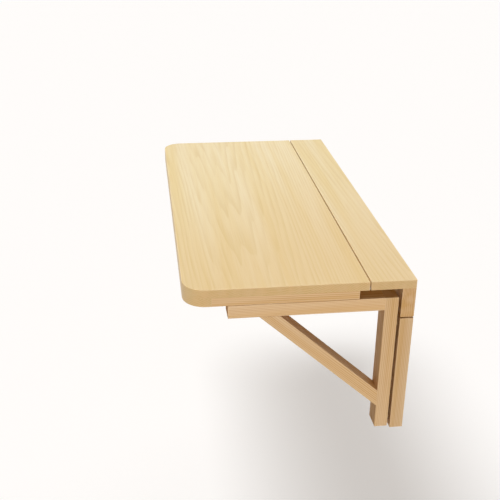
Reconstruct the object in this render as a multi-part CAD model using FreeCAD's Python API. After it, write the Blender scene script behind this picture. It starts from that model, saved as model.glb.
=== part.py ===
import FreeCAD, Part
import math
import os
from FreeCAD import Placement, Rotation, Vector

# Wall mounted drop leaf table in pine, millimetres.
# A strip of the top is fixed on a wall rail. A leaf hangs on three hinges under the seam, and two
# triangular brackets, each hinged to its own wall post, swing out to hold it up.
# X runs along the wall, +Y goes into the wall, +Z is up. The origin is the middle of the wall rail's
# back face. Everything is drawn with the brackets out and the leaf up. "Near" is the +X end.

# Top
TOP_LENGTH = 1000.0
TOP_DEPTH = 500.0
PANEL_THICKNESS = 20.0
STRIP_DEPTH = 100.0
SEAM_GAP = 3.0
CORNER_RADIUS = 50.0

# Battens that thicken the leaf's three free edges
BATTEN_THICKNESS = 20.0
BATTEN_WIDTH = 60.0
BATTEN_SETBACK = 21.0

# Wall rail and wall posts
RAIL_DEPTH = 30.0
RAIL_HEIGHT = 70.0
POST_GAP = 3.0
POST_BELOW_LEG = 5.5

# Bracket members, cut from one stock: MEMBER_FACE shows at the table's end, MEMBER_WIDTH lies along the wall
MEMBER_FACE = 30.0
MEMBER_WIDTH = 45.0
LEG_LENGTH = 336.0
BRACKET_REACH = 370.0
BRACE_TO_ARM_END = 67.0
BRACE_TO_LEG_END = 58.0
ARM_CLEARANCE = 0.5

# Edges of the wood
ARRIS = 1.2

# Butt hinges, one barrel size for all
PLATE_THICKNESS = 1.6
PLATE_CORNER = 2.0
PIN_RADIUS = 1.55
PIN_CLEARANCE = 0.05
PIN_HEAD_RADIUS = 2.4
PIN_HEAD_HEIGHT = 1.0
KNUCKLES = 5
KNUCKLE_GAP = 0.2
BARREL_CLEARANCE = 0.3
BRACKET_HINGE_LENGTH = 60.0
BRACKET_PLATE_WIDTH = 20.0
BRACKET_HINGE_MARGIN = 15.0
LEAF_HINGE_LENGTH = 80.0
LEAF_PLATE_WIDTH = 30.0
LEAF_HINGE_MARGIN = 60.0

# Screws and dowels
HINGE_SCREWS_PER_PLATE = 3
HINGE_SCREW_END = 10.0
HINGE_SCREW_STAGGER = 1.5
HINGE_SCREW_HEAD_RADIUS = 3.1
HINGE_SCREW_RADIUS = 1.6
HINGE_SCREW_LENGTH = 14.0
BATTEN_SCREW_HEAD_RADIUS = 4.0
BATTEN_SCREW_RADIUS = 2.1
BATTEN_SCREW_LENGTH = 32.0
BATTEN_SCREW_END = 40.0
FRONT_BATTEN_SCREWS = 5
END_BATTEN_SCREWS = 3
SCREW_TIP_LENGTH = 4.0
SCREW_TIP_RADIUS = 0.3
RECESS_WIDTH = 0.9
RECESS_DEPTH = 1.3
DRILL_CLEARANCE = 0.05
DRILL_EXTRA_DEPTH = 1.0
DOWEL_RADIUS = 4.0
DOWEL_LENGTH = 30.0
DOWEL_CHAMFER = 0.8
DOWEL_SPREAD = 22.0
STRIP_DOWELS = 6
STRIP_DOWEL_END = 50.0
STRIP_DOWEL_IN_STRIP = 12.0

# Holes for the screws that go into the wall
WALL_HOLE_RADIUS = 2.5
WALL_SINK_RADIUS = 5.0
RAIL_HOLES = 4
RAIL_HOLE_END = 100.0
POST_HOLE_END = 20.0
POST_HOLE_SIDE = 13.0

# Levels and planes that follow from the sizes above
TABLE_END = TOP_LENGTH / 2
RAIL_TOP = RAIL_HEIGHT / 2
PANEL_TOP = RAIL_TOP + PANEL_THICKNESS
BATTEN_BOTTOM = RAIL_TOP - BATTEN_THICKNESS
ARM_TOP = BATTEN_BOTTOM - ARM_CLEARANCE
ARM_BOTTOM = ARM_TOP - MEMBER_FACE
LEG_BOTTOM = ARM_TOP - LEG_LENGTH
POST_TOP = -RAIL_HEIGHT / 2 - POST_GAP
POST_BOTTOM = LEG_BOTTOM - POST_BELOW_LEG
BARREL_RADIUS = PIN_RADIUS + PIN_CLEARANCE + PLATE_THICKNESS
LEAF_BACK = -STRIP_DEPTH - SEAM_GAP
LEAF_FRONT = -TOP_DEPTH
FRONT_BATTEN_BACK = LEAF_FRONT + BATTEN_WIDTH
END_BATTEN_BACK = LEAF_BACK - BATTEN_SETBACK
BATTEN_INNER_SIDE = TABLE_END - BATTEN_WIDTH
RAIL_FRONT = -RAIL_DEPTH
LEG_BACK = RAIL_FRONT - 2 * BARREL_RADIUS
LEG_FRONT = LEG_BACK - MEMBER_FACE
ARM_END = LEG_BACK - BRACKET_REACH
MEMBER_INNER_SIDE = TABLE_END - MEMBER_WIDTH
MEMBER_MIDDLE = TABLE_END - MEMBER_WIDTH / 2

# The brace's lower edge runs from under the arm to the leg's front, and its upper edge lies one
# MEMBER_FACE away from it.
BRACE_LOW_ON_ARM = ARM_END + BRACE_TO_ARM_END
BRACE_LOW_ON_LEG = LEG_BOTTOM + BRACE_TO_LEG_END
BRACE_ANGLE = math.atan2(ARM_BOTTOM - BRACE_LOW_ON_LEG, LEG_FRONT - BRACE_LOW_ON_ARM)
BRACE_HIGH_ON_ARM = BRACE_LOW_ON_ARM + MEMBER_FACE / math.sin(BRACE_ANGLE)
BRACE_HIGH_ON_LEG = BRACE_LOW_ON_LEG + MEMBER_FACE / math.cos(BRACE_ANGLE)

# Hinge axes and places
BRACKET_AXIS_X = MEMBER_INNER_SIDE - BARREL_RADIUS
BRACKET_AXIS_Y = RAIL_FRONT - BARREL_RADIUS
LEAF_AXIS_Y = (LEAF_BACK - STRIP_DEPTH) / 2
LEAF_AXIS_Z = RAIL_TOP - BARREL_RADIUS
UPPER_HINGE_Z = POST_TOP - BRACKET_HINGE_MARGIN - BRACKET_HINGE_LENGTH / 2
LOWER_HINGE_Z = POST_BOTTOM + BRACKET_HINGE_MARGIN + BRACKET_HINGE_LENGTH / 2
LEAF_HINGE_X = BATTEN_INNER_SIDE - LEAF_HINGE_MARGIN - LEAF_HINGE_LENGTH / 2
FIXED_KNUCKLES = range(0, KNUCKLES, 2)
MOVING_KNUCKLES = range(1, KNUCKLES, 2)

# Head radius, shank radius and length of the two kinds of screw
HINGE_SCREW = (HINGE_SCREW_HEAD_RADIUS, HINGE_SCREW_RADIUS, HINGE_SCREW_LENGTH)
BATTEN_SCREW = (BATTEN_SCREW_HEAD_RADIUS, BATTEN_SCREW_RADIUS, BATTEN_SCREW_LENGTH)

X_AXIS = Vector(1, 0, 0)
Y_AXIS = Vector(0, 1, 0)
Z_AXIS = Vector(0, 0, 1)
ORIGIN = Vector(0, 0, 0)

# How close counts as the same place, in millimetres, and as the same direction, as 1 minus the cosine
SAME_PLACE = 0.01
SAME_DIRECTION = 0.00001


# ---------------------------------------------------------------- shapes used by many pieces

def block(x0, x1, y0, y1, z0, z1):
    return Part.makeBox(x1 - x0, y1 - y0, z1 - z0, Vector(x0, y0, z0))


def evenly(first, last, count):
    step = (last - first) / (count - 1)
    return [first + step * index for index in range(count)]


def placed(shape, place):
    copy = shape.copy()
    copy.transformShape(place.toMatrix())
    return copy


def eased(wood, wanted):
    """Rounds the edges that wanted() picks to the arris radius."""
    return wood.makeFillet(ARRIS, [edge for edge in wood.Edges if wanted(edge)])


def runs_along(edge, direction):
    tangent = edge.tangentAt(edge.FirstParameter)
    return 1 - abs(tangent.dot(direction)) < SAME_DIRECTION


def lies_at_z(edge, z):
    return abs(edge.BoundBox.ZMin - z) < SAME_PLACE and abs(edge.BoundBox.ZMax - z) < SAME_PLACE


def lies_at_y(edge, y):
    return abs(edge.BoundBox.YMin - y) < SAME_PLACE and abs(edge.BoundBox.YMax - y) < SAME_PLACE


def mirrored(shape):
    """The same piece at the far end of the table."""
    return shape.mirror(ORIGIN, X_AXIS)


# ---------------------------------------------------------------- screws and dowels

def wood_screw(head_radius, radius, length):
    """A countersunk cross head screw along +Z, with its flat head at Z = 0."""
    head_height = head_radius - radius
    head = Part.makeCone(head_radius, radius, head_height)
    shank = Part.makeCylinder(radius, length - head_height - SCREW_TIP_LENGTH, Z_AXIS * head_height)
    tip = Part.makeCone(radius, SCREW_TIP_RADIUS, SCREW_TIP_LENGTH, Z_AXIS * (length - SCREW_TIP_LENGTH))
    screw = head.fuse([shank, tip])
    half = head_radius / 2
    slot = block(-half, half, -RECESS_WIDTH / 2, RECESS_WIDTH / 2, 0, RECESS_DEPTH)
    cross = slot.fuse(block(-RECESS_WIDTH / 2, RECESS_WIDTH / 2, -half, half, 0, RECESS_DEPTH))
    return screw.cut(cross).removeSplitter()


def screw_drill(head_radius, radius, length):
    """The countersunk hole that the same screw sits in."""
    head_height = head_radius - radius
    sink = Part.makeCone(head_radius + DRILL_CLEARANCE, radius + DRILL_CLEARANCE, head_height)
    hole = Part.makeCylinder(radius + DRILL_CLEARANCE, length + DRILL_EXTRA_DEPTH)
    return sink.fuse(hole)


def dowel(centre, direction):
    start = centre - direction * (DOWEL_LENGTH / 2)
    pin = Part.makeCylinder(DOWEL_RADIUS, DOWEL_LENGTH, start, direction)
    rims = [edge for edge in pin.Edges if isinstance(edge.Curve, Part.Circle)]
    return pin.makeChamfer(DOWEL_CHAMFER, rims)


def dowel_drill(centre, direction):
    length = DOWEL_LENGTH + 2 * DRILL_EXTRA_DEPTH
    start = centre - direction * (length / 2)
    return Part.makeCylinder(DOWEL_RADIUS + DRILL_CLEARANCE, length, start, direction)


def wall_drill(x, z):
    """A countersunk hole through the rail or a post for a screw into the wall."""
    front = Vector(x, RAIL_FRONT, z)
    sink_depth = WALL_SINK_RADIUS - WALL_HOLE_RADIUS
    hole = Part.makeCylinder(WALL_HOLE_RADIUS, RAIL_DEPTH, front, Y_AXIS)
    return hole.fuse(Part.makeCone(WALL_SINK_RADIUS, WALL_HOLE_RADIUS, sink_depth, front, Y_AXIS))


# ---------------------------------------------------------------- hinges
# A hinge plate is drawn with its barrel's axis on Z, its plate out along +X and the wood on its +Y face.

def knuckle_span(length, index):
    pitch = length / KNUCKLES
    low = -length / 2 + pitch * index
    return low + KNUCKLE_GAP / 2, low + pitch - KNUCKLE_GAP / 2


def hinge_screw_places(length, width):
    """Where a plate's screws start, on the plate's inner face and pointing into the wood."""
    middle = (BARREL_RADIUS + BARREL_CLEARANCE + width) / 2
    into_wood = Rotation(Z_AXIS, Y_AXIS)
    places = []
    for index, z in enumerate(evenly(-length / 2 + HINGE_SCREW_END, length / 2 - HINGE_SCREW_END,
                                     HINGE_SCREWS_PER_PLATE)):
        x = middle + HINGE_SCREW_STAGGER * (1 if index % 2 == 0 else -1)
        places.append(Placement(Vector(x, BARREL_RADIUS - PLATE_THICKNESS, z), into_wood))
    return places


def hinge_plate(length, width, knuckles):
    edge = BARREL_RADIUS + BARREL_CLEARANCE
    inner_face = BARREL_RADIUS - PLATE_THICKNESS
    plate = block(edge, width, inner_face, BARREL_RADIUS, -length / 2, length / 2)
    across = [line for line in plate.Edges if runs_along(line, Y_AXIS)]
    corners = [line for line in across if line.BoundBox.XMin > edge + SAME_PLACE]
    plate = plate.makeFillet(PLATE_CORNER, corners)
    for index in knuckles:
        low, high = knuckle_span(length, index)
        barrel = Part.makeCylinder(BARREL_RADIUS, high - low, Z_AXIS * low)
        web = block(0, edge, inner_face, BARREL_RADIUS, low, high)
        plate = plate.fuse([barrel, web])
    bore = Part.makeCylinder(PIN_RADIUS + PIN_CLEARANCE, length, Z_AXIS * (-length / 2))
    drills = hinge_drills(length, width, Placement())
    return plate.cut([bore] + drills).removeSplitter()


def hinge_pin(length):
    body = Part.makeCylinder(PIN_RADIUS, length, Z_AXIS * (-length / 2))
    head = Part.makeCylinder(PIN_HEAD_RADIUS, PIN_HEAD_HEIGHT, Z_AXIS * (length / 2))
    rim = [edge for edge in head.Edges if lies_at_z(edge, length / 2 + PIN_HEAD_HEIGHT)]
    head = head.makeFillet(PIN_HEAD_HEIGHT / 2, rim)
    return body.fuse([head, head.mirror(ORIGIN, Z_AXIS)]).removeSplitter()


def hinge_screws(length, width, place):
    screw = wood_screw(*HINGE_SCREW)
    return [placed(screw, place * spot) for spot in hinge_screw_places(length, width)]


def hinge_drills(length, width, place):
    drill = screw_drill(*HINGE_SCREW)
    return [placed(drill, place * spot) for spot in hinge_screw_places(length, width)]


# A bracket hinge stands upright between the post and the leg, closed.

BRACKET_HINGE = (BRACKET_HINGE_LENGTH, BRACKET_PLATE_WIDTH)
BRACKET_HINGES = {"upper": UPPER_HINGE_Z, "lower": LOWER_HINGE_Z}


def post_plate_place(z):
    return Placement(Vector(BRACKET_AXIS_X, BRACKET_AXIS_Y, z), Rotation(X_AXIS, Y_AXIS, Z_AXIS, "XYZ"))


def leg_plate_place(z):
    return Placement(Vector(BRACKET_AXIS_X, BRACKET_AXIS_Y, z), Rotation(X_AXIS, -Y_AXIS, -Z_AXIS, "XYZ"))


# A leaf hinge lies open under the seam.

LEAF_HINGE = (LEAF_HINGE_LENGTH, LEAF_PLATE_WIDTH)
LEAF_HINGES = {"near": LEAF_HINGE_X, "middle": 0.0, "far": -LEAF_HINGE_X}


def strip_plate_place(x):
    return Placement(Vector(x, LEAF_AXIS_Y, LEAF_AXIS_Z), Rotation(Y_AXIS, Z_AXIS, X_AXIS, "XYZ"))


def leaf_plate_place(x):
    return Placement(Vector(x, LEAF_AXIS_Y, LEAF_AXIS_Z), Rotation(-Y_AXIS, Z_AXIS, -X_AXIS, "XYZ"))


# ---------------------------------------------------------------- top strip, rail and posts

def strip_dowel_centres():
    """The strip is thinner than the rail, so each dowel goes deeper into the rail."""
    z = RAIL_TOP + STRIP_DOWEL_IN_STRIP - DOWEL_LENGTH / 2
    xs = evenly(STRIP_DOWEL_END - TABLE_END, TABLE_END - STRIP_DOWEL_END, STRIP_DOWELS)
    return [Vector(x, RAIL_FRONT / 2, z) for x in xs]


def fixed_top_strip():
    strip = block(-TABLE_END, TABLE_END, -STRIP_DEPTH, 0, RAIL_TOP, PANEL_TOP)
    strip = eased(strip, lambda edge: lies_at_z(edge, PANEL_TOP) and not lies_at_y(edge, 0))
    drills = [dowel_drill(centre, Z_AXIS) for centre in strip_dowel_centres()]
    for x in LEAF_HINGES.values():
        drills += hinge_drills(*LEAF_HINGE, strip_plate_place(x))
    return strip.cut(drills)


def rail_hole_xs():
    outer = TABLE_END - RAIL_HOLE_END
    return evenly(-outer, outer, RAIL_HOLES)


def wall_rail():
    rail = block(-TABLE_END, TABLE_END, RAIL_FRONT, 0, -RAIL_TOP, RAIL_TOP)
    rail = eased(rail, lambda edge: lies_at_z(edge, -RAIL_TOP) and not lies_at_y(edge, 0))
    drills = [dowel_drill(centre, Z_AXIS) for centre in strip_dowel_centres()]
    drills += [wall_drill(x, 0) for x in rail_hole_xs()]
    return rail.cut(drills)


def wall_post():
    post = block(MEMBER_INNER_SIDE, TABLE_END, RAIL_FRONT, 0, POST_BOTTOM, POST_TOP)
    post = eased(post, lambda edge: not lies_at_y(edge, 0))
    hole_x = TABLE_END - POST_HOLE_SIDE
    drills = [wall_drill(hole_x, z) for z in (POST_TOP - POST_HOLE_END, POST_BOTTOM + POST_HOLE_END)]
    for z in BRACKET_HINGES.values():
        drills += hinge_drills(*BRACKET_HINGE, post_plate_place(z))
    return post.cut(drills)


# ---------------------------------------------------------------- leaf

def leaf_plan(z0, z1):
    """The leaf's outline between two heights, with its two free corners rounded."""
    slab = block(-TABLE_END, TABLE_END, LEAF_FRONT, LEAF_BACK, z0, z1)
    corners = [edge for edge in slab.Edges if runs_along(edge, Z_AXIS) and lies_at_y(edge, LEAF_FRONT)]
    return slab.makeFillet(CORNER_RADIUS, corners)


def batten_screw_places():
    """Under the battens, pointing up into the panel."""
    front_y = (LEAF_FRONT + FRONT_BATTEN_BACK) / 2
    end_x = (BATTEN_INNER_SIDE + TABLE_END) / 2
    outermost_x = BATTEN_INNER_SIDE - BATTEN_SCREW_END
    foremost_y = FRONT_BATTEN_BACK + BATTEN_SCREW_END
    rearmost_y = END_BATTEN_BACK - BATTEN_SCREW_END
    spots = [(x, front_y) for x in evenly(-outermost_x, outermost_x, FRONT_BATTEN_SCREWS)]
    for y in evenly(foremost_y, rearmost_y, END_BATTEN_SCREWS):
        spots += [(end_x, y), (-end_x, y)]
    return [Placement(Vector(x, y, BATTEN_BOTTOM), Rotation()) for x, y in spots]


def batten_screws():
    screw = wood_screw(*BATTEN_SCREW)
    return [placed(screw, place) for place in batten_screw_places()]


def batten_drills():
    drill = screw_drill(*BATTEN_SCREW)
    return [placed(drill, place) for place in batten_screw_places()]


def leaf_panel():
    panel = eased(leaf_plan(RAIL_TOP, PANEL_TOP), lambda edge: lies_at_z(edge, PANEL_TOP))
    drills = batten_drills()
    for x in LEAF_HINGES.values():
        drills += hinge_drills(*LEAF_HINGE, leaf_plate_place(x))
    return panel.cut(drills)


def leaf_front_batten():
    strip = block(-TABLE_END, TABLE_END, LEAF_FRONT, FRONT_BATTEN_BACK, BATTEN_BOTTOM, RAIL_TOP)
    batten = leaf_plan(BATTEN_BOTTOM, RAIL_TOP).common(strip)
    batten = eased(batten, lambda edge: lies_at_z(edge, BATTEN_BOTTOM))
    return batten.cut(batten_drills())


def leaf_end_batten():
    front, back = FRONT_BATTEN_BACK, END_BATTEN_BACK
    batten = block(BATTEN_INNER_SIDE, TABLE_END, front, back, BATTEN_BOTTOM, RAIL_TOP)
    batten = eased(batten, lambda edge: lies_at_z(edge, BATTEN_BOTTOM) and not lies_at_y(edge, front))
    return batten.cut(batten_drills())


# ---------------------------------------------------------------- bracket

def bracket_dowels():
    """Centre and direction of the dowels in the three joints of one bracket, two side by side in each."""
    half = DOWEL_LENGTH / 2
    arm_middle = (ARM_TOP + ARM_BOTTOM) / 2
    on_leg = (BRACE_LOW_ON_LEG + BRACE_HIGH_ON_LEG + half * math.tan(BRACE_ANGLE)) / 2
    on_arm = (BRACE_LOW_ON_ARM + BRACE_HIGH_ON_ARM + half / math.tan(BRACE_ANGLE)) / 2
    dowels = []
    for x in (MEMBER_MIDDLE - DOWEL_SPREAD / 2, MEMBER_MIDDLE + DOWEL_SPREAD / 2):
        dowels.append((Vector(x, LEG_FRONT, arm_middle), Y_AXIS))
        dowels.append((Vector(x, LEG_FRONT, on_leg), Y_AXIS))
        dowels.append((Vector(x, on_arm, ARM_BOTTOM), Z_AXIS))
    return dowels


def bracket_dowel_drills():
    return [dowel_drill(centre, direction) for centre, direction in bracket_dowels()]


def bracket_leg():
    leg = block(MEMBER_INNER_SIDE, TABLE_END, LEG_FRONT, LEG_BACK, LEG_BOTTOM, ARM_TOP)
    leg = eased(leg, lambda edge: True)
    drills = bracket_dowel_drills()
    for z in BRACKET_HINGES.values():
        drills += hinge_drills(*BRACKET_HINGE, leg_plate_place(z))
    return leg.cut(drills)


def bracket_arm():
    arm = block(MEMBER_INNER_SIDE, TABLE_END, ARM_END, LEG_FRONT, ARM_BOTTOM, ARM_TOP)
    arm = eased(arm, lambda edge: not lies_at_y(edge, LEG_FRONT))
    return arm.cut(bracket_dowel_drills())


def bracket_brace():
    corners = [(BRACE_LOW_ON_ARM, ARM_BOTTOM), (LEG_FRONT, BRACE_LOW_ON_LEG),
               (LEG_FRONT, BRACE_HIGH_ON_LEG), (BRACE_HIGH_ON_ARM, ARM_BOTTOM)]
    outline = [Vector(MEMBER_INNER_SIDE, y, z) for y, z in corners]
    brace = Part.Face(Part.makePolygon(outline + outline[:1])).extrude(X_AXIS * MEMBER_WIDTH)
    slope = Vector(0, math.cos(BRACE_ANGLE), -math.sin(BRACE_ANGLE))
    brace = eased(brace, lambda edge: runs_along(edge, slope))
    return brace.cut(bracket_dowel_drills())


# ---------------------------------------------------------------- nodes

def table_nodes():
    nodes = {
        "fixed_top_strip": fixed_top_strip(),
        "wall_rail": wall_rail(),
        "strip_dowels": Part.makeCompound([dowel(centre, Z_AXIS) for centre in strip_dowel_centres()]),
        "leaf_panel": leaf_panel(),
        "leaf_front_batten": leaf_front_batten(),
        "leaf_batten_screws": Part.makeCompound(batten_screws()),
    }
    nodes.update(leaf_hinge_nodes())
    for name, shape in near_end_nodes().items():
        nodes["near_" + name] = shape
        nodes["far_" + name] = mirrored(shape)
    return nodes


def leaf_hinge_nodes():
    nodes = {}
    strip_screws = []
    leaf_screws = []
    strip_plate = hinge_plate(*LEAF_HINGE, FIXED_KNUCKLES)
    leaf_plate = hinge_plate(*LEAF_HINGE, MOVING_KNUCKLES)
    pin = hinge_pin(LEAF_HINGE_LENGTH)
    for name, x in LEAF_HINGES.items():
        strip_place = strip_plate_place(x)
        leaf_place = leaf_plate_place(x)
        nodes[name + "_leaf_hinge_strip_plate"] = placed(strip_plate, strip_place)
        nodes[name + "_leaf_hinge_leaf_plate"] = placed(leaf_plate, leaf_place)
        nodes[name + "_leaf_hinge_pin"] = placed(pin, strip_place)
        strip_screws += hinge_screws(*LEAF_HINGE, strip_place)
        leaf_screws += hinge_screws(*LEAF_HINGE, leaf_place)
    nodes["leaf_hinge_strip_screws"] = Part.makeCompound(strip_screws)
    nodes["leaf_hinge_leaf_screws"] = Part.makeCompound(leaf_screws)
    return nodes


def near_end_nodes():
    """The pieces that the table has once at each end, drawn at the near end."""
    nodes = {
        "wall_post": wall_post(),
        "leaf_end_batten": leaf_end_batten(),
        "bracket_leg": bracket_leg(),
        "bracket_arm": bracket_arm(),
        "bracket_brace": bracket_brace(),
        "bracket_dowels": Part.makeCompound([dowel(centre, way) for centre, way in bracket_dowels()]),
    }
    post_screws = []
    leg_screws = []
    post_plate = hinge_plate(*BRACKET_HINGE, FIXED_KNUCKLES)
    leg_plate = hinge_plate(*BRACKET_HINGE, MOVING_KNUCKLES)
    pin = hinge_pin(BRACKET_HINGE_LENGTH)
    for name, z in BRACKET_HINGES.items():
        post_place = post_plate_place(z)
        leg_place = leg_plate_place(z)
        nodes[name + "_hinge_post_plate"] = placed(post_plate, post_place)
        nodes[name + "_hinge_leg_plate"] = placed(leg_plate, leg_place)
        nodes[name + "_hinge_pin"] = placed(pin, post_place)
        post_screws += hinge_screws(*BRACKET_HINGE, post_place)
        leg_screws += hinge_screws(*BRACKET_HINGE, leg_place)
    nodes["post_hinge_screws"] = Part.makeCompound(post_screws)
    nodes["leg_hinge_screws"] = Part.makeCompound(leg_screws)
    return nodes


os.makedirs("parts", exist_ok=True)
for node, shape in table_nodes().items():
    shape.exportStep("parts/" + node + ".step")
    box = shape.BoundBox
    print("%-34s solids %2d  volume %10.1f  x %7.1f %7.1f  y %7.1f %7.1f  z %7.1f %7.1f" % (
        node, len(shape.Solids), shape.Volume, box.XMin, box.XMax, box.YMin, box.YMax, box.ZMin, box.ZMax))
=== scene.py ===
# %% [markdown]
# # A wall mounted drop leaf table in pine
# The construction comes finished in model.glb: every board, hinge plate, pin, screw and dowel is
# there at its real size. What is left for this lesson is the finish. We give each board a pine
# material whose growth rings run right through the wood, and each fitting its zinc, steel or beech.
# Then we set up a plain studio.

# %% Load the frame
import math

import bmesh
import bpy
from mathutils import Euler, Matrix, Vector


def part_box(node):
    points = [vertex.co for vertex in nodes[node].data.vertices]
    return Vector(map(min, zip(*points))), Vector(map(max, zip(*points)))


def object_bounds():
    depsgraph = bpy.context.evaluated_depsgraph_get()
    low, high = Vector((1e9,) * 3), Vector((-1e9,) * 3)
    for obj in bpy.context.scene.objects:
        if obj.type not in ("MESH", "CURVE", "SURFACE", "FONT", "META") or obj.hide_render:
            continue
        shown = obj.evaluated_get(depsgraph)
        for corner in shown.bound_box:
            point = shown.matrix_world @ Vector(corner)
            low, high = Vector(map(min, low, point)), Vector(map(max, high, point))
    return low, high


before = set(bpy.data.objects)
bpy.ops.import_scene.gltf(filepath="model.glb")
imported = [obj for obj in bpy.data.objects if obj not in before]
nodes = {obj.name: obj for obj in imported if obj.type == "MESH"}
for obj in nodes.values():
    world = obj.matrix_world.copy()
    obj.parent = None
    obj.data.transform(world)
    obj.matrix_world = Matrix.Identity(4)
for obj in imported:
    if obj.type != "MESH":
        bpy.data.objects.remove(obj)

construction_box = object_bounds()
print("nodes in the frame:", len(nodes))

# %% [markdown]
# ## Words for building a material
# A procedural material is a chain of small nodes. Writing each one out takes five lines, so we first
# make a few helpers. A socket takes either a number or another node's output, and `feed` handles
# both. Colours are easiest to judge as the 0 to 255 values on a paint card, but Blender computes in
# linear light, so `paint` converts them.

# %% Helpers for sockets and colours
def feed(tree, socket, value):
    """Puts a number, a vector, a colour or another node's output into a socket."""
    if isinstance(value, bpy.types.NodeSocket):
        tree.links.new(value, socket)
    else:
        socket.default_value = value


def in_use(sockets):
    """A node that handles several kinds of data hides the sockets of the kinds it isn't set to."""
    return [socket for socket in sockets if socket.enabled]


def linear(shade):
    """One 0 to 255 value as linear light, by the standard sRGB curve."""
    level = shade / 255
    return level / 12.92 if level <= 0.04045 else ((level + 0.055) / 1.055) ** 2.4


def paint(red, green, blue):
    return (linear(red), linear(green), linear(blue), 1.0)


def new_finish(name):
    material = bpy.data.materials.new(name)
    material.use_nodes = True
    return material, material.node_tree, material.node_tree.nodes["Principled BSDF"]


# %% Helpers for numbers and vectors inside a material
def number(tree, operation, first, second=0.0):
    node = tree.nodes.new("ShaderNodeMath")
    node.operation = operation
    feed(tree, node.inputs[0], first)
    feed(tree, node.inputs[1], second)
    return node.outputs["Value"]


def plus(tree, first, second):
    return number(tree, "ADD", first, second)


def times(tree, first, second):
    return number(tree, "MULTIPLY", first, second)


def vector(tree, operation, first, second=(0.0, 0.0, 0.0)):
    node = tree.nodes.new("ShaderNodeVectorMath")
    node.operation = operation
    feed(tree, node.inputs[0], first)
    feed(tree, node.inputs[1], second)
    return in_use(node.outputs)[0]


def rise(tree, value, low, high):
    """0 below low, 1 above high, and a smooth rise between. It falls if low is the larger."""
    node = tree.nodes.new("ShaderNodeMapRange")
    node.interpolation_type = "SMOOTHSTEP"
    for socket, given in zip(in_use(node.inputs), (value, low, high, 0.0, 1.0)):
        feed(tree, socket, given)
    return node.outputs["Result"]


# %% Helpers for colours, noise and relief inside a material
def blended(tree, amount, first, second):
    """The first colour where amount is 0, the second where it is 1."""
    node = tree.nodes.new("ShaderNodeMix")
    node.data_type = "RGBA"
    for socket, given in zip(in_use(node.inputs), (amount, first, second)):
        feed(tree, socket, given)
    return in_use(node.outputs)[0]


def cloud(tree, place, per_metre, detail=2.0):
    """Noise between 0 and 1, with this many patches in a metre along each axis."""
    node = tree.nodes.new("ShaderNodeTexNoise")
    feed(tree, node.inputs["Vector"], vector(tree, "MULTIPLY", place, per_metre))
    node.inputs["Scale"].default_value = 1.0
    node.inputs["Detail"].default_value = detail
    return node.outputs["Fac"]


def relief(tree, shader, height, depth):
    """Fine relief on the surface, depth metres deep."""
    node = tree.nodes.new("ShaderNodeBump")
    node.inputs["Strength"].default_value = 1.0
    node.inputs["Distance"].default_value = depth
    feed(tree, node.inputs["Height"], height)
    feed(tree, shader.inputs["Normal"], node.outputs["Normal"])


# %% [markdown]
# ## Where a piece of wood lies in its tree
# A real board is sawn out of a trunk, so the pattern on its face, edge and end is one and the same
# set of growth rings, cut three ways. We could paint each side with its own pattern, but the corners
# would give it away. So the pattern is three dimensional and every board reads it in its own
# directions: X along the grain, Y and Z across. A Mapping node of the Texture kind turns and centres
# the board that way.

# %% Board directions
ALONG_WALL = (0.0, 0.0, 0.0)
OUT_FROM_WALL = (0.0, 0.0, math.radians(90))
UPRIGHT = (0.0, math.radians(-90), 0.0)


def object_place(tree):
    return tree.nodes.new("ShaderNodeTexCoord").outputs["Object"]


def object_facing(tree):
    return tree.nodes.new("ShaderNodeTexCoord").outputs["Normal"]


def turned(tree, place, turn, middle=(0.0, 0.0, 0.0)):
    """A place or a direction as the board sees it, from its middle."""
    node = tree.nodes.new("ShaderNodeMapping")
    node.vector_type = "TEXTURE"
    feed(tree, node.inputs["Vector"], place)
    node.inputs["Location"].default_value = middle
    node.inputs["Rotation"].default_value = turn
    return node.outputs["Vector"]


# %% [markdown]
# ## Growth rings
# A tree adds one ring a year: pale, wide early wood that darkens slowly, then a thin band of late
# wood with a sharp outer edge. The distance from the heart of the tree gives the rings. The trunk
# tapers and sways a little, and where the saw cuts nearly along a ring both open it into long arches
# on the board's face. No two years are equally wide, and along the trunk each dark band grows fainter
# and stronger again.

# %% Late wood
RING_WIDTH = 0.0036
RING_SWAY = 0.007
SWAY_PER_METRE = (1.2, 7.0, 7.0)
TAPER = 0.014
UNEVEN_YEARS = 2.4
UNEVEN_PER_METRE = (0.5, 34.0, 34.0)
DARKENS_IN_YEAR = (0.25, 0.90)
ENDS_IN_YEAR = (1.00, 0.92)
FAINTEST_BAND = 0.35
FADE_PER_METRE = (2.6, 60.0, 60.0)
FADE_RISE = (0.32, 0.62)


def late_wood(tree, figure, heart):
    """1 in the dark band of each ring, 0 in the pale part. heart is the tree's middle, across."""
    from_middle = vector(tree, "SUBTRACT", figure, (0.0, *heart))
    across = vector(tree, "MULTIPLY", from_middle, (0.0, 1.0, 1.0))
    sway = times(tree, cloud(tree, figure, SWAY_PER_METRE), RING_SWAY)
    taper = vector(tree, "DOT_PRODUCT", figure, (TAPER, 0.0, 0.0))
    from_heart = plus(tree, plus(tree, vector(tree, "LENGTH", across), sway), taper)
    uneven = times(tree, cloud(tree, figure, UNEVEN_PER_METRE, 1.0), UNEVEN_YEARS)
    years = plus(tree, number(tree, "DIVIDE", from_heart, RING_WIDTH), uneven)
    season = number(tree, "FRACT", years)
    band = times(tree, rise(tree, season, *DARKENS_IN_YEAR), rise(tree, season, *ENDS_IN_YEAR))
    fade = rise(tree, cloud(tree, figure, FADE_PER_METRE, 1.0), *FADE_RISE)
    strength = plus(tree, FAINTEST_BAND, times(tree, fade, 1.0 - FAINTEST_BAND))
    return times(tree, band, strength)
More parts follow.
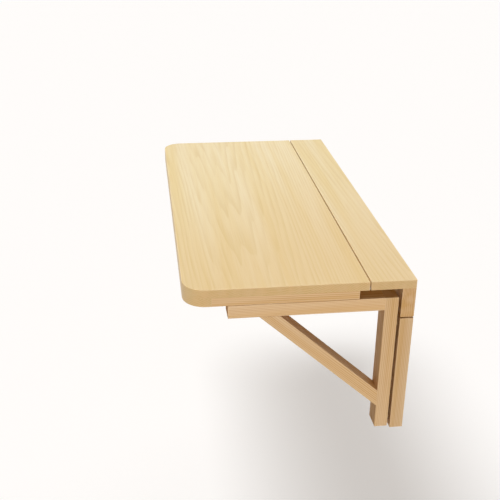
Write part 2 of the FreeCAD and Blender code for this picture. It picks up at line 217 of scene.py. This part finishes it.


# %% [markdown]
# ## Worn and highlit edges
# Hands and cloths polish a board along its edges until paler wood shows, and the same pale line also
# stands as a painted highlight, for the light that the rounded edges catch. A point lies on an edge
# where it is close to two sides of the board's box at once. So we take the distance to the nearest
# side along each axis, and the second smallest of these three is the distance from an edge.

# %% Wear and painted highlight along the edges
WEAR_AND_HIGHLIGHT_RISE = (0.0030, 0.0010)


def worn_and_highlit_edge(tree, board, low, high):
    """1 along the edges of the box from low to high, 0 from a few millimetres in."""
    from_low = vector(tree, "SUBTRACT", board, low)
    from_high = vector(tree, "SUBTRACT", high, board)
    split = tree.nodes.new("ShaderNodeSeparateXYZ")
    feed(tree, split.inputs["Vector"], vector(tree, "MINIMUM", from_low, from_high))
    x, y, z = split.outputs
    pairs = [number(tree, "MAXIMUM", first, second) for first, second in ((x, y), (y, z), (x, z))]
    from_edge = number(tree, "MINIMUM", number(tree, "MINIMUM", pairs[0], pairs[1]), pairs[2])
    return rise(tree, from_edge, *WEAR_AND_HIGHLIGHT_RISE)


# %% [markdown]
# ## The layers of the pattern
# On top of the rings come broad bands of tone, narrower streaks, and the fibres and pores, which are
# long and very thin. The other layers follow the board itself: where its edges are worn and take a
# painted highlight, which sides are end grain, which are narrow sides, and how far it is towards the
# near end and the wall, where painted shade darkens the pale boards. Each is a number between 0 and
# 1, so the colour and the lacquer can both use it.

# %% Pattern layers of one board
BANDS_PER_METRE = (0.7, 13.0, 13.0)
BAND_RISE = (0.36, 0.66)
STREAKS_PER_METRE = (1.3, 55.0, 55.0)
STREAK_RISE = (0.36, 0.70)
FIBRES_PER_METRE = (12.0, 620.0, 620.0)
FIBRE_DETAIL = 3.0
PORES_PER_METRE = (110.0, 2600.0, 2600.0)
PORE_RISE = (0.66, 0.76)
WEAR_AND_HIGHLIGHT_ON_FIBRES = (0.30, 0.60)
END_RISE = (0.75, 0.95)
# Narrow sides, where the pale boards get painted shade and slightly stronger rings.
NARROW_SIDE_RISE = (0.90, 0.50)
# Painted shade: the pale boards get darker and warmer towards the near end and towards the wall.
TOWARDS_NEAR_END_AND_WALL = (1.0, 0.8, 0.0)
NEAR_END_SHADE_RISE = (-0.35, 0.55)


def pine_layers(tree, board, turn, edges, heart, shift):
    """shift moves the board along the trunk, so that no two boards look the same."""
    figure = vector(tree, "ADD", board, (shift, 0.0, 0.0))
    fibres = cloud(tree, figure, FIBRES_PER_METRE, FIBRE_DETAIL)
    facing = vector(tree, "ABSOLUTE", turned(tree, object_facing(tree), turn))
    along_grain = vector(tree, "DOT_PRODUCT", facing, (1.0, 0.0, 0.0))
    out_of_face = vector(tree, "DOT_PRODUCT", facing, (0.0, 0.0, 1.0))
    # Painted shade grows towards the near end and the wall.
    towards_near_end_and_wall = vector(tree, "DOT_PRODUCT", board, TOWARDS_NEAR_END_AND_WALL)
    return {
        "late": late_wood(tree, figure, heart),
        "bands": rise(tree, cloud(tree, figure, BANDS_PER_METRE, 1.0), *BAND_RISE),
        "streaks": rise(tree, cloud(tree, figure, STREAKS_PER_METRE), *STREAK_RISE),
        "fibres": fibres,
        "pores": rise(tree, cloud(tree, figure, PORES_PER_METRE, 1.0), *PORE_RISE),
        # Wear along the edges, which also stands as a painted highlight.
        "wear_and_highlight": times(tree, worn_and_highlit_edge(tree, board, *edges), rise(tree, fibres, *WEAR_AND_HIGHLIGHT_ON_FIBRES)),
        "end": rise(tree, along_grain, *END_RISE),
        "narrow": rise(tree, out_of_face, *NARROW_SIDE_RISE),
        "near_end_shade": rise(tree, towards_near_end_and_wall, *NEAR_END_SHADE_RISE),
    }


# %% [markdown]
# ## The colour of the pine
# The strip, the leaf and the batten along its front are cut from paler boards than the frame under
# them. Warm bands and late wood turn yellower rather than greyer: they lose blue most, green less and
# red least. End grain drinks more lacquer and turns darker and warmer. On the pale boards the narrow
# sides are painted darker and warmer, as painted shade on the front edge and the rounded corner, and
# painted shade darkens and warms them towards the near end and the wall. Edges are painted paler,
# partly as wear and partly as a painted highlight. Each layer lays its own shade over the ones before
# it.

# %% Wood colours
WOODS = {
    "top": {"pale": (236, 223, 184), "warm": (229, 209, 151),
            "late": (209, 180, 104), "end": (241, 207, 158)},
    "frame": {"pale": (249, 223, 186), "warm": (231, 190, 126),
              "late": (207, 156, 76), "end": (230, 188, 134)},
}
# Colour of the painted shade towards the near end and the wall.
NEAR_END_PAINTED_SHADE = paint(214, 180, 124)
FIBRE_SHADE = paint(200, 155, 92)
# Colour of worn edges, which also serves as a painted highlight on them.
WEAR_AND_HIGHLIGHT_SHADE = paint(250, 230, 192)


def toned(wood, tone):
    """The same wood, a little darker or lighter, as paint colours."""
    return {part: paint(*(tone * level for level in colour)) for part, colour in wood.items()}


# %% How strongly each layer shows
BAND_SHARE = 0.55
STREAK_SHARE = 0.45
# Painted shade on the pale boards: towards the near end and the wall, and on their narrow sides.
NEAR_END_PAINTED_SHADE_STRENGTH = {"top": 0.46, "frame": 0.0}
NARROW_SIDE_PAINTED_SHADE = {"top": 0.35, "frame": 0.0}
NARROW_WITHOUT_STREAKS = 0.6
STREAKS_ON_NARROW = 0.8
END_STRENGTH = 0.45
RING_STRENGTH = {"top": 0.34, "frame": 0.54}
RINGS_ON_END = 0.14
RINGS_ON_NARROW = 0.12
FIBRE_RISE = (0.45, 0.72)
FIBRE_STRENGTH = 0.12
PORE_STRENGTH = 0.12
WEAR_AND_HIGHLIGHT_STRENGTH = 0.28


def pine_colour(tree, kind, wood, layer):
    """The board's colour, from the pale wood up to the wear and painted highlight on its edges."""
    warmth = plus(tree, times(tree, layer["bands"], BAND_SHARE),
                  times(tree, layer["streaks"], STREAK_SHARE))
    streaky = plus(tree, NARROW_WITHOUT_STREAKS, times(tree, layer["streaks"], STREAKS_ON_NARROW))
    # Painted shade: the narrow sides of the pale boards darkened and warmed towards the end grain
    # colour.
    narrow = times(tree, times(tree, layer["narrow"], streaky), NARROW_SIDE_PAINTED_SHADE[kind])
    rings = plus(tree, RING_STRENGTH[kind], times(tree, layer["end"], RINGS_ON_END))
    rings = plus(tree, rings, times(tree, layer["narrow"], RINGS_ON_NARROW))
    fibres = rise(tree, layer["fibres"], *FIBRE_RISE)

    colour = blended(tree, warmth, wood["pale"], wood["warm"])
    for amount, shade in (
        # Painted shade towards the near end and the wall, then painted shade on the narrow sides.
        (times(tree, layer["near_end_shade"], NEAR_END_PAINTED_SHADE_STRENGTH[kind]), NEAR_END_PAINTED_SHADE),
        (narrow, wood["end"]),
        (times(tree, layer["end"], END_STRENGTH), wood["end"]),
        (times(tree, layer["late"], rings), wood["late"]),
        (times(tree, fibres, FIBRE_STRENGTH), FIBRE_SHADE),
        (times(tree, layer["pores"], PORE_STRENGTH), FIBRE_SHADE),
        # Pale edges: wear, and a painted highlight where rounded edges catch light.
        (times(tree, layer["wear_and_highlight"], WEAR_AND_HIGHLIGHT_STRENGTH), WEAR_AND_HIGHLIGHT_SHADE),
    ):
        colour = blended(tree, amount, colour, shade)
    return colour


# %% [markdown]
# ## The lacquer
# The pale boards have a satin lacquer, which mirrors more where it is looked along, and the frame is
# left nearly matt. Late wood is hard and takes the best polish, and end grain stays dull. The relief
# is a few hundredths of a millimetre deep, just enough for the grain to catch the light. How much a
# board mirrors is the same all over, so it goes straight on the shader's own socket.

# %% Lacquer and grain
DULLNESS = {"top": 0.36, "frame": 0.48}
FIBRE_DULLNESS = 0.14
LATE_WOOD_POLISH = 0.05
END_DULLNESS = 0.12
MIRRORS = {"top": 0.42, "frame": 0.10}
LATE_WOOD_RIDGE = 0.5
GRAIN_DEPTH = 0.00004


def lacquer(tree, shader, kind, layer):
    """How dull the board is, how much it mirrors and the relief of its grain."""
    dull = plus(tree, DULLNESS[kind], times(tree, layer["fibres"], FIBRE_DULLNESS))
    dull = number(tree, "SUBTRACT", dull, times(tree, layer["late"], LATE_WOOD_POLISH))
    dull = plus(tree, dull, times(tree, layer["end"], END_DULLNESS))
    feed(tree, shader.inputs["Roughness"], dull)
    shader.inputs["Specular IOR Level"].default_value = MIRRORS[kind]

    height = plus(tree, layer["fibres"], times(tree, layer["late"], LATE_WOOD_RIDGE))
    relief(tree, shader, number(tree, "SUBTRACT", height, layer["pores"]), GRAIN_DEPTH)


# %% The whole pine finish
def pine(name, kind, tone, turn, middle, edges, heart, shift):
    """One board's own finish."""
    material, tree, shader = new_finish(name)
    board = turned(tree, object_place(tree), turn, middle)
    layer = pine_layers(tree, board, turn, edges, heart, shift)
    colour = pine_colour(tree, kind, toned(WOODS[kind], tone), layer)
    feed(tree, shader.inputs["Base Color"], colour)
    lacquer(tree, shader, kind, layer)
    return material


# %% [markdown]
# ## Which board is cut which way
# The grain always runs along a piece's length. The heart of the tree lies to one side of each board,
# and how far decides its figure: far below a wide board gives arches on its face and level lines on
# its end, and far to the side of a narrow one gives straight lines. Each board has its wood, its
# tone, the way its grain runs, where the heart of its tree lies across it, and how far along the
# trunk it comes from.

# %% Lay out the boards
BOARDS = {
    "fixed_top_strip": ("top", 0.99, ALONG_WALL, (0.100, -0.320), 5.3),
    "leaf_panel": ("top", 1.00, ALONG_WALL, (-0.045, -0.360), 7.4),
    "leaf_front_batten": ("top", 1.00, ALONG_WALL, (0.090, -0.160), 11.9),
    "wall_rail": ("frame", 0.97, ALONG_WALL, (0.260, 0.020), 15.2),
    "near_leaf_end_batten": ("frame", 1.00, OUT_FROM_WALL, (0.060, -0.170), 19.7),
    "far_leaf_end_batten": ("frame", 1.00, OUT_FROM_WALL, (-0.050, -0.150), 23.3),
    "near_wall_post": ("frame", 0.955, UPRIGHT, (-0.190, 0.050), 27.8),
    "far_wall_post": ("frame", 0.955, UPRIGHT, (-0.170, -0.060), 31.4),
    "near_bracket_leg": ("frame", 0.975, UPRIGHT, (0.160, 0.070), 35.1),
    "far_bracket_leg": ("frame", 0.975, UPRIGHT, (0.150, -0.080), 39.6),
    "near_bracket_arm": ("frame", 1.015, OUT_FROM_WALL, (0.050, 0.180), 41.2),
    "far_bracket_arm": ("frame", 1.015, OUT_FROM_WALL, (-0.070, 0.160), 47.9),
}


def dress(node, finish):
    nodes[node].data.materials.clear()
    nodes[node].data.materials.append(finish)


# %% [markdown]
# A side that lies against another board was never touched and catches no light on its edge, so
# neither wear nor a painted highlight belongs there, and a pale line would look like a crack filled
# with light. So we compare the boards' boxes: where neighbours cover more than a fifth of a side, the
# box that the wear and painted highlight follow is moved out on that side, and its edges stay as they
# were cut.

# %% Which sides lie against another board
TOUCHING = 0.0003
COVERED = 0.2
OUT_OF_REACH = 0.02


def wear_and_highlight_box(node):
    """The board's box, moved out on every side that lies against its neighbours."""
    low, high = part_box(node)
    box_low, box_high = low.copy(), high.copy()
    for side in range(3):
        one, other = [axis for axis in range(3) if axis != side]
        whole = (high[one] - low[one]) * (high[other] - low[other])
        covered = {"low": 0.0, "high": 0.0}
        for neighbour in BOARDS:
            start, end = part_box(neighbour)
            shared = 1.0
            for axis in (one, other):
                shared *= max(0.0, min(high[axis], end[axis]) - max(low[axis], start[axis]))
            if neighbour != node and abs(end[side] - low[side]) < TOUCHING:
                covered["low"] += shared / whole
            if neighbour != node and abs(start[side] - high[side]) < TOUCHING:
                covered["high"] += shared / whole
        box_low[side] -= OUT_OF_REACH * (covered["low"] > COVERED)
        box_high[side] += OUT_OF_REACH * (covered["high"] > COVERED)
    return box_low, box_high


def as_the_board_sees_it(low, high, turn, middle):
    """The box from low to high, in the board's own directions from its middle."""
    to_board = (Matrix.Translation(middle) @ Euler(turn).to_matrix().to_4x4()).inverted()
    corners = [to_board @ low, to_board @ high]
    return Vector(map(min, *corners)), Vector(map(max, *corners))


# %% Dress the boards
for node, (kind, tone, turn, heart, shift) in BOARDS.items():
    low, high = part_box(node)
    middle = (low + high) / 2
    edges = as_the_board_sees_it(*wear_and_highlight_box(node), turn, middle)
    dress(node, pine("pine_" + node, kind, tone, turn, middle, edges, heart, shift))
print("boards with their own pine:", len(BOARDS))

# %% [markdown]
# The brace slopes, so its direction is worked out from its own box. The box's diagonal is the brace's
# lower edge, from under the arm down to the leg, and its middle lies half a face above that edge.

# %% Dress the two braces
BRACES = {
    "near_bracket_brace": ((0.060, 0.150), 53.3),
    "far_bracket_brace": ((-0.050, 0.170), 55.8),
}
BRACE_TONE = 0.99
MEMBER_FACE = 0.030
MEMBER_WIDTH = 0.045
for node, (heart, shift) in BRACES.items():
    low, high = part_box(node)
    slope = math.atan2(high.z - low.z, high.y - low.y)
    upward = Vector((0.0, math.sin(slope), math.cos(slope)))
    turn = (0.0, slope, math.radians(90))
    middle = (low + high) / 2 + upward * MEMBER_FACE / 2
    length = math.hypot(high.y - low.y, high.z - low.z)
    half = Vector((length, MEMBER_WIDTH, MEMBER_FACE)) / 2
    finish = pine("pine_" + node, "frame", BRACE_TONE, turn, middle, (-half, half), heart, shift)
    dress(node, finish)
    print(node, "slopes at", round(math.degrees(slope), 1), "degrees")

# %% [markdown]
# ## Hinges, pins, screws and dowels
# The fittings are small but they show from below. Hinge plates are stamped from zinc plated strip, so
# they carry faint rolling lines and cloudy zinc. Pins are drawn wire. Screws are brighter and turned.
# The dowels are beech, which has short dark flecks in place of rings that show.

# %% Metal finishes
CLOUDS_PER_METRE = (90.0, 90.0, 90.0)
CLOUD_DETAIL = 3.0
CLOUD_RISE = (0.35, 0.70)
LINE_RISE = (0.50, 0.80)
LINE_STRENGTH = 0.25
LINE_SHADE = paint(120, 120, 118)
LINE_DULLNESS = 0.18


def metal(name, shade, cloudy_shade, lines_per_metre, dullness, scratch_depth):
    """A small number in lines_per_metre draws the lines out along that axis, as rolling does."""
    material, tree, shader = new_finish(name)
    place = object_place(tree)
    clouds = rise(tree, cloud(tree, place, CLOUDS_PER_METRE, CLOUD_DETAIL), *CLOUD_RISE)
    lines = cloud(tree, place, lines_per_metre)
    colour = blended(tree, clouds, shade, cloudy_shade)
    line_strength = times(tree, rise(tree, lines, *LINE_RISE), LINE_STRENGTH)
    feed(tree, shader.inputs["Base Color"], blended(tree, line_strength, colour, LINE_SHADE))
    shader.inputs["Metallic"].default_value = 1.0
    feed(tree, shader.inputs["Roughness"], plus(tree, dullness, times(tree, lines, LINE_DULLNESS)))
    relief(tree, shader, lines, scratch_depth)
    return material


# %% The fittings' own metals
ZINC = paint(198, 197, 192)
CLOUDY_ZINC = paint(176, 175, 168)
ROLLED_ALONG_X = (60.0, 2400.0, 2400.0)
ROLLED_ALONG_Z = (2400.0, 2400.0, 60.0)
METALS = {
    "leaf_plate": metal("zinc_plate_under_the_top", ZINC, CLOUDY_ZINC, ROLLED_ALONG_X,
                        dullness=0.26, scratch_depth=0.00002),
    "bracket_plate": metal("zinc_plate_on_the_brackets", ZINC, CLOUDY_ZINC, ROLLED_ALONG_Z,
                           dullness=0.26, scratch_depth=0.00002),
    "pin": metal("drawn_steel_pin", paint(182, 182, 182), paint(160, 160, 161),
                 (900.0, 900.0, 900.0), dullness=0.22, scratch_depth=0.00001),
    "screw": metal("bright_zinc_screw", paint(206, 204, 194), paint(190, 186, 172),
                   (1500.0, 1500.0, 1500.0), dullness=0.20, scratch_depth=0.00001),
}
print("metals:", len(METALS))

# %% Beech finish
FLECKS_PER_METRE = (900.0, 900.0, 260.0)
FLECK_RISE = (0.58, 0.70)
FLECK_STRENGTH = 0.5
FLECK_SHADE = paint(150, 104, 70)
BEECH_PER_METRE = (120.0, 120.0, 30.0)
PALE_BEECH = paint(212, 170, 128)
DARK_BEECH = paint(196, 150, 108)
BEECH_DULLNESS = 0.62
BEECH_GRAIN_DEPTH = 0.00005


def beech(name):
    material, tree, shader = new_finish(name)
    place = object_place(tree)
    flecks = rise(tree, cloud(tree, place, FLECKS_PER_METRE, 1.0), *FLECK_RISE)
    tone = cloud(tree, place, BEECH_PER_METRE)
    colour = blended(tree, tone, PALE_BEECH, DARK_BEECH)
    colour = blended(tree, times(tree, flecks, FLECK_STRENGTH), colour, FLECK_SHADE)
    feed(tree, shader.inputs["Base Color"], colour)
    shader.inputs["Roughness"].default_value = BEECH_DULLNESS
    relief(tree, shader, tone, BEECH_GRAIN_DEPTH)
    return material


# %% Put the fittings' finishes on
BEECH = beech("raw_beech_dowel")


def fitting_finish(node):
    if "dowels" in node:
        return BEECH
    if "screws" in node:
        return METALS["screw"]
    if node.endswith("_pin"):
        return METALS["pin"]
    return METALS["leaf_plate" if "leaf_hinge" in node else "bracket_plate"]


fittings = sorted(set(nodes) - set(BOARDS) - set(BRACES))
for node in fittings:
    dress(node, fitting_finish(node))
print("fittings with a finish:", len(fittings))

# %% [markdown]
# ## A plain studio
# The floor is a large pale sheet at the height that a table of this kind hangs above it. To the
# camera it is nearly white, partly by glowing a little, which keeps the table's shadow soft and pale.
# Everything else sees a dark warm floor, so that it doesn't throw light up under the top.

# %% Floor
TABLE_HEIGHT = 0.75
FLOOR_REACH = 30.0
floor_level = construction_box[1].z - TABLE_HEIGHT
floor_mesh = bpy.data.meshes.new("floor")
sheet = bmesh.new()
bmesh.ops.create_grid(sheet, x_segments=1, y_segments=1, size=FLOOR_REACH,
                      matrix=Matrix.Translation((0.0, 0.0, floor_level)))
sheet.to_mesh(floor_mesh)
sheet.free()
floor = bpy.data.objects.new("floor", floor_mesh)
bpy.context.scene.collection.objects.link(floor)
print("floor at", round(floor_level, 3), "m")

# %% Floor paint
FLOOR_SEEN = (0.55, 0.56, 0.57, 1.0)
FLOOR_FOR_BOUNCES = (0.32, 0.25, 0.18, 1.0)
FLOOR_GLOW = 0.44
GLOW_COLOUR = (1.0, 1.0, 0.99, 1.0)
FLOOR_DULLNESS = 0.9


def seen_directly(tree):
    """1 for what the camera, a reflection or glass sees, 0 for light that only bounces."""
    path = tree.nodes.new("ShaderNodeLightPath")
    direct = number(tree, "MAXIMUM", path.outputs["Is Camera Ray"], path.outputs["Is Glossy Ray"])
    return number(tree, "MAXIMUM", direct, path.outputs["Is Transmission Ray"])


floor_paint, tree, shader = new_finish("studio_floor")
direct = seen_directly(tree)
feed(tree, shader.inputs["Base Color"], blended(tree, direct, FLOOR_FOR_BOUNCES, FLOOR_SEEN))
feed(tree, shader.inputs["Emission Strength"], times(tree, direct, FLOOR_GLOW))
shader.inputs["Emission Color"].default_value = GLOW_COLOUR
shader.inputs["Roughness"].default_value = FLOOR_DULLNESS
shader.inputs["Specular IOR Level"].default_value = 0.0
floor_mesh.materials.append(floor_paint)

# %% [markdown]
# From below, the camera has to look through the floor, and the floor must not keep a lamp's light off
# the table. A mix with a transparent shader does both: it opens the floor's back to the camera, and
# the whole floor to the rays that ask whether a lamp is in sight.

# %% Open the floor to the camera below and to the lamps
side = tree.nodes.new("ShaderNodeNewGeometry")
path = tree.nodes.new("ShaderNodeLightPath")
from_below = times(tree, side.outputs["Backfacing"], path.outputs["Is Camera Ray"])
through = number(tree, "MAXIMUM", from_below, path.outputs["Is Shadow Ray"])
clear = tree.nodes.new("ShaderNodeBsdfTransparent")
see_through = tree.nodes.new("ShaderNodeMixShader")
feed(tree, see_through.inputs["Fac"], through)
tree.links.new(shader.outputs["BSDF"], see_through.inputs[1])
tree.links.new(clear.outputs["BSDF"], see_through.inputs[2])
tree.links.new(see_through.outputs["Shader"], tree.nodes["Material Output"].inputs["Surface"])

# %% [markdown]
# ## Light
# Four wide soft lamps and an even, warm sky. The key stands high in front, so it lights the top and
# the front edge, while the leaf shades the brackets under it. A level lamp on the near side shows the
# end faces, and a weak one high on the far side evens out the top. Looked along, the lacquer would
# mirror these two as a white glare, so they are kept out of reflections. The fourth, low behind,
# keeps the back readable. All are of the sun kind, which lights the floor as evenly far away as close
# by, and their large angle makes the shadows soft.

# %% Lamps
def soft_lamp(name, direction, brightness, degrees_across, mirrored=True):
    """A matt surface that faces the lamp squarely becomes brightness times its own colour.

    A lamp that isn't mirrored lights the wood but makes no highlight in the lacquer."""
    lamp = bpy.data.lights.new(name, "SUN")
    lamp.energy = brightness * math.pi
    lamp.angle = math.radians(degrees_across)
    holder = bpy.data.objects.new(name, lamp)
    bpy.context.scene.collection.objects.link(holder)
    holder.rotation_euler = Vector(direction).to_track_quat("Z", "Y").to_euler()
    holder.visible_glossy = mirrored


soft_lamp("key", (-0.10, -0.34, 0.93), brightness=0.74, degrees_across=30)
soft_lamp("near_side", (1.00, -0.06, -0.02), brightness=0.475, degrees_across=24, mirrored=False)
soft_lamp("far_side", (-0.80, 0.20, 0.60), brightness=0.17, degrees_across=40, mirrored=False)
soft_lamp("back", (0.00, 1.00, -0.30), brightness=0.13, degrees_across=20)
print("lamps:", len(bpy.data.lights))

# %% Sky
SKY_FILL = (0.208, 0.147, 0.104, 1.0)
SKY_SEEN = (1.0, 1.0, 1.0, 1.0)
sky = bpy.data.worlds.new("sky")
bpy.context.scene.world = sky
sky.use_nodes = True
tree = sky.node_tree
backdrop = tree.nodes["Background"]
feed(tree, backdrop.inputs["Color"], blended(tree, seen_directly(tree), SKY_FILL, SKY_SEEN))
backdrop.inputs["Strength"].default_value = 1.0

# %% [markdown]
# ## Camera
# The camera looks along the wall from beyond the near end, a little from the front and from above.
# We build its directions from three angles: round the table, above the horizon and a slight roll.

# %% Place the camera
CAMERA_PLACE = Vector((2.0281, -0.5703, 0.8575))
CAMERA_ROUND = math.radians(82.212)
CAMERA_ABOVE = math.radians(24.871)
CAMERA_ROLL = math.radians(0.744)
SENSOR = 36.0
IMAGE_SIDE = 500
FOCAL_PIXELS = 835.69

backward = Vector((math.sin(CAMERA_ROUND) * math.cos(CAMERA_ABOVE),
                   -math.cos(CAMERA_ROUND) * math.cos(CAMERA_ABOVE),
                   math.sin(CAMERA_ABOVE)))
level_right = Vector((0.0, 0.0, 1.0)).cross(backward).normalized()
level_up = backward.cross(level_right)
right = level_right * math.cos(CAMERA_ROLL) + level_up * math.sin(CAMERA_ROLL)
up = level_up * math.cos(CAMERA_ROLL) - level_right * math.sin(CAMERA_ROLL)

lens = bpy.data.cameras.new("camera")
lens.sensor_width = SENSOR
lens.lens = FOCAL_PIXELS * SENSOR / IMAGE_SIDE
camera = bpy.data.objects.new("camera", lens)
bpy.context.scene.collection.objects.link(camera)
directions = Matrix((right, up, backward)).transposed().to_4x4()
camera.matrix_world = Matrix.Translation(CAMERA_PLACE) @ directions
bpy.context.scene.camera = camera
print("lens:", round(lens.lens, 2), "mm")

# %% [markdown]
# ## Finish
# The picture is shown without any film look, so a colour renders as it was mixed.

# %% Colour management and the construction's corners
bpy.context.scene.view_settings.view_transform = "Standard"
print("construction:", [tuple(round(c, 4) for c in corner) for corner in construction_box])
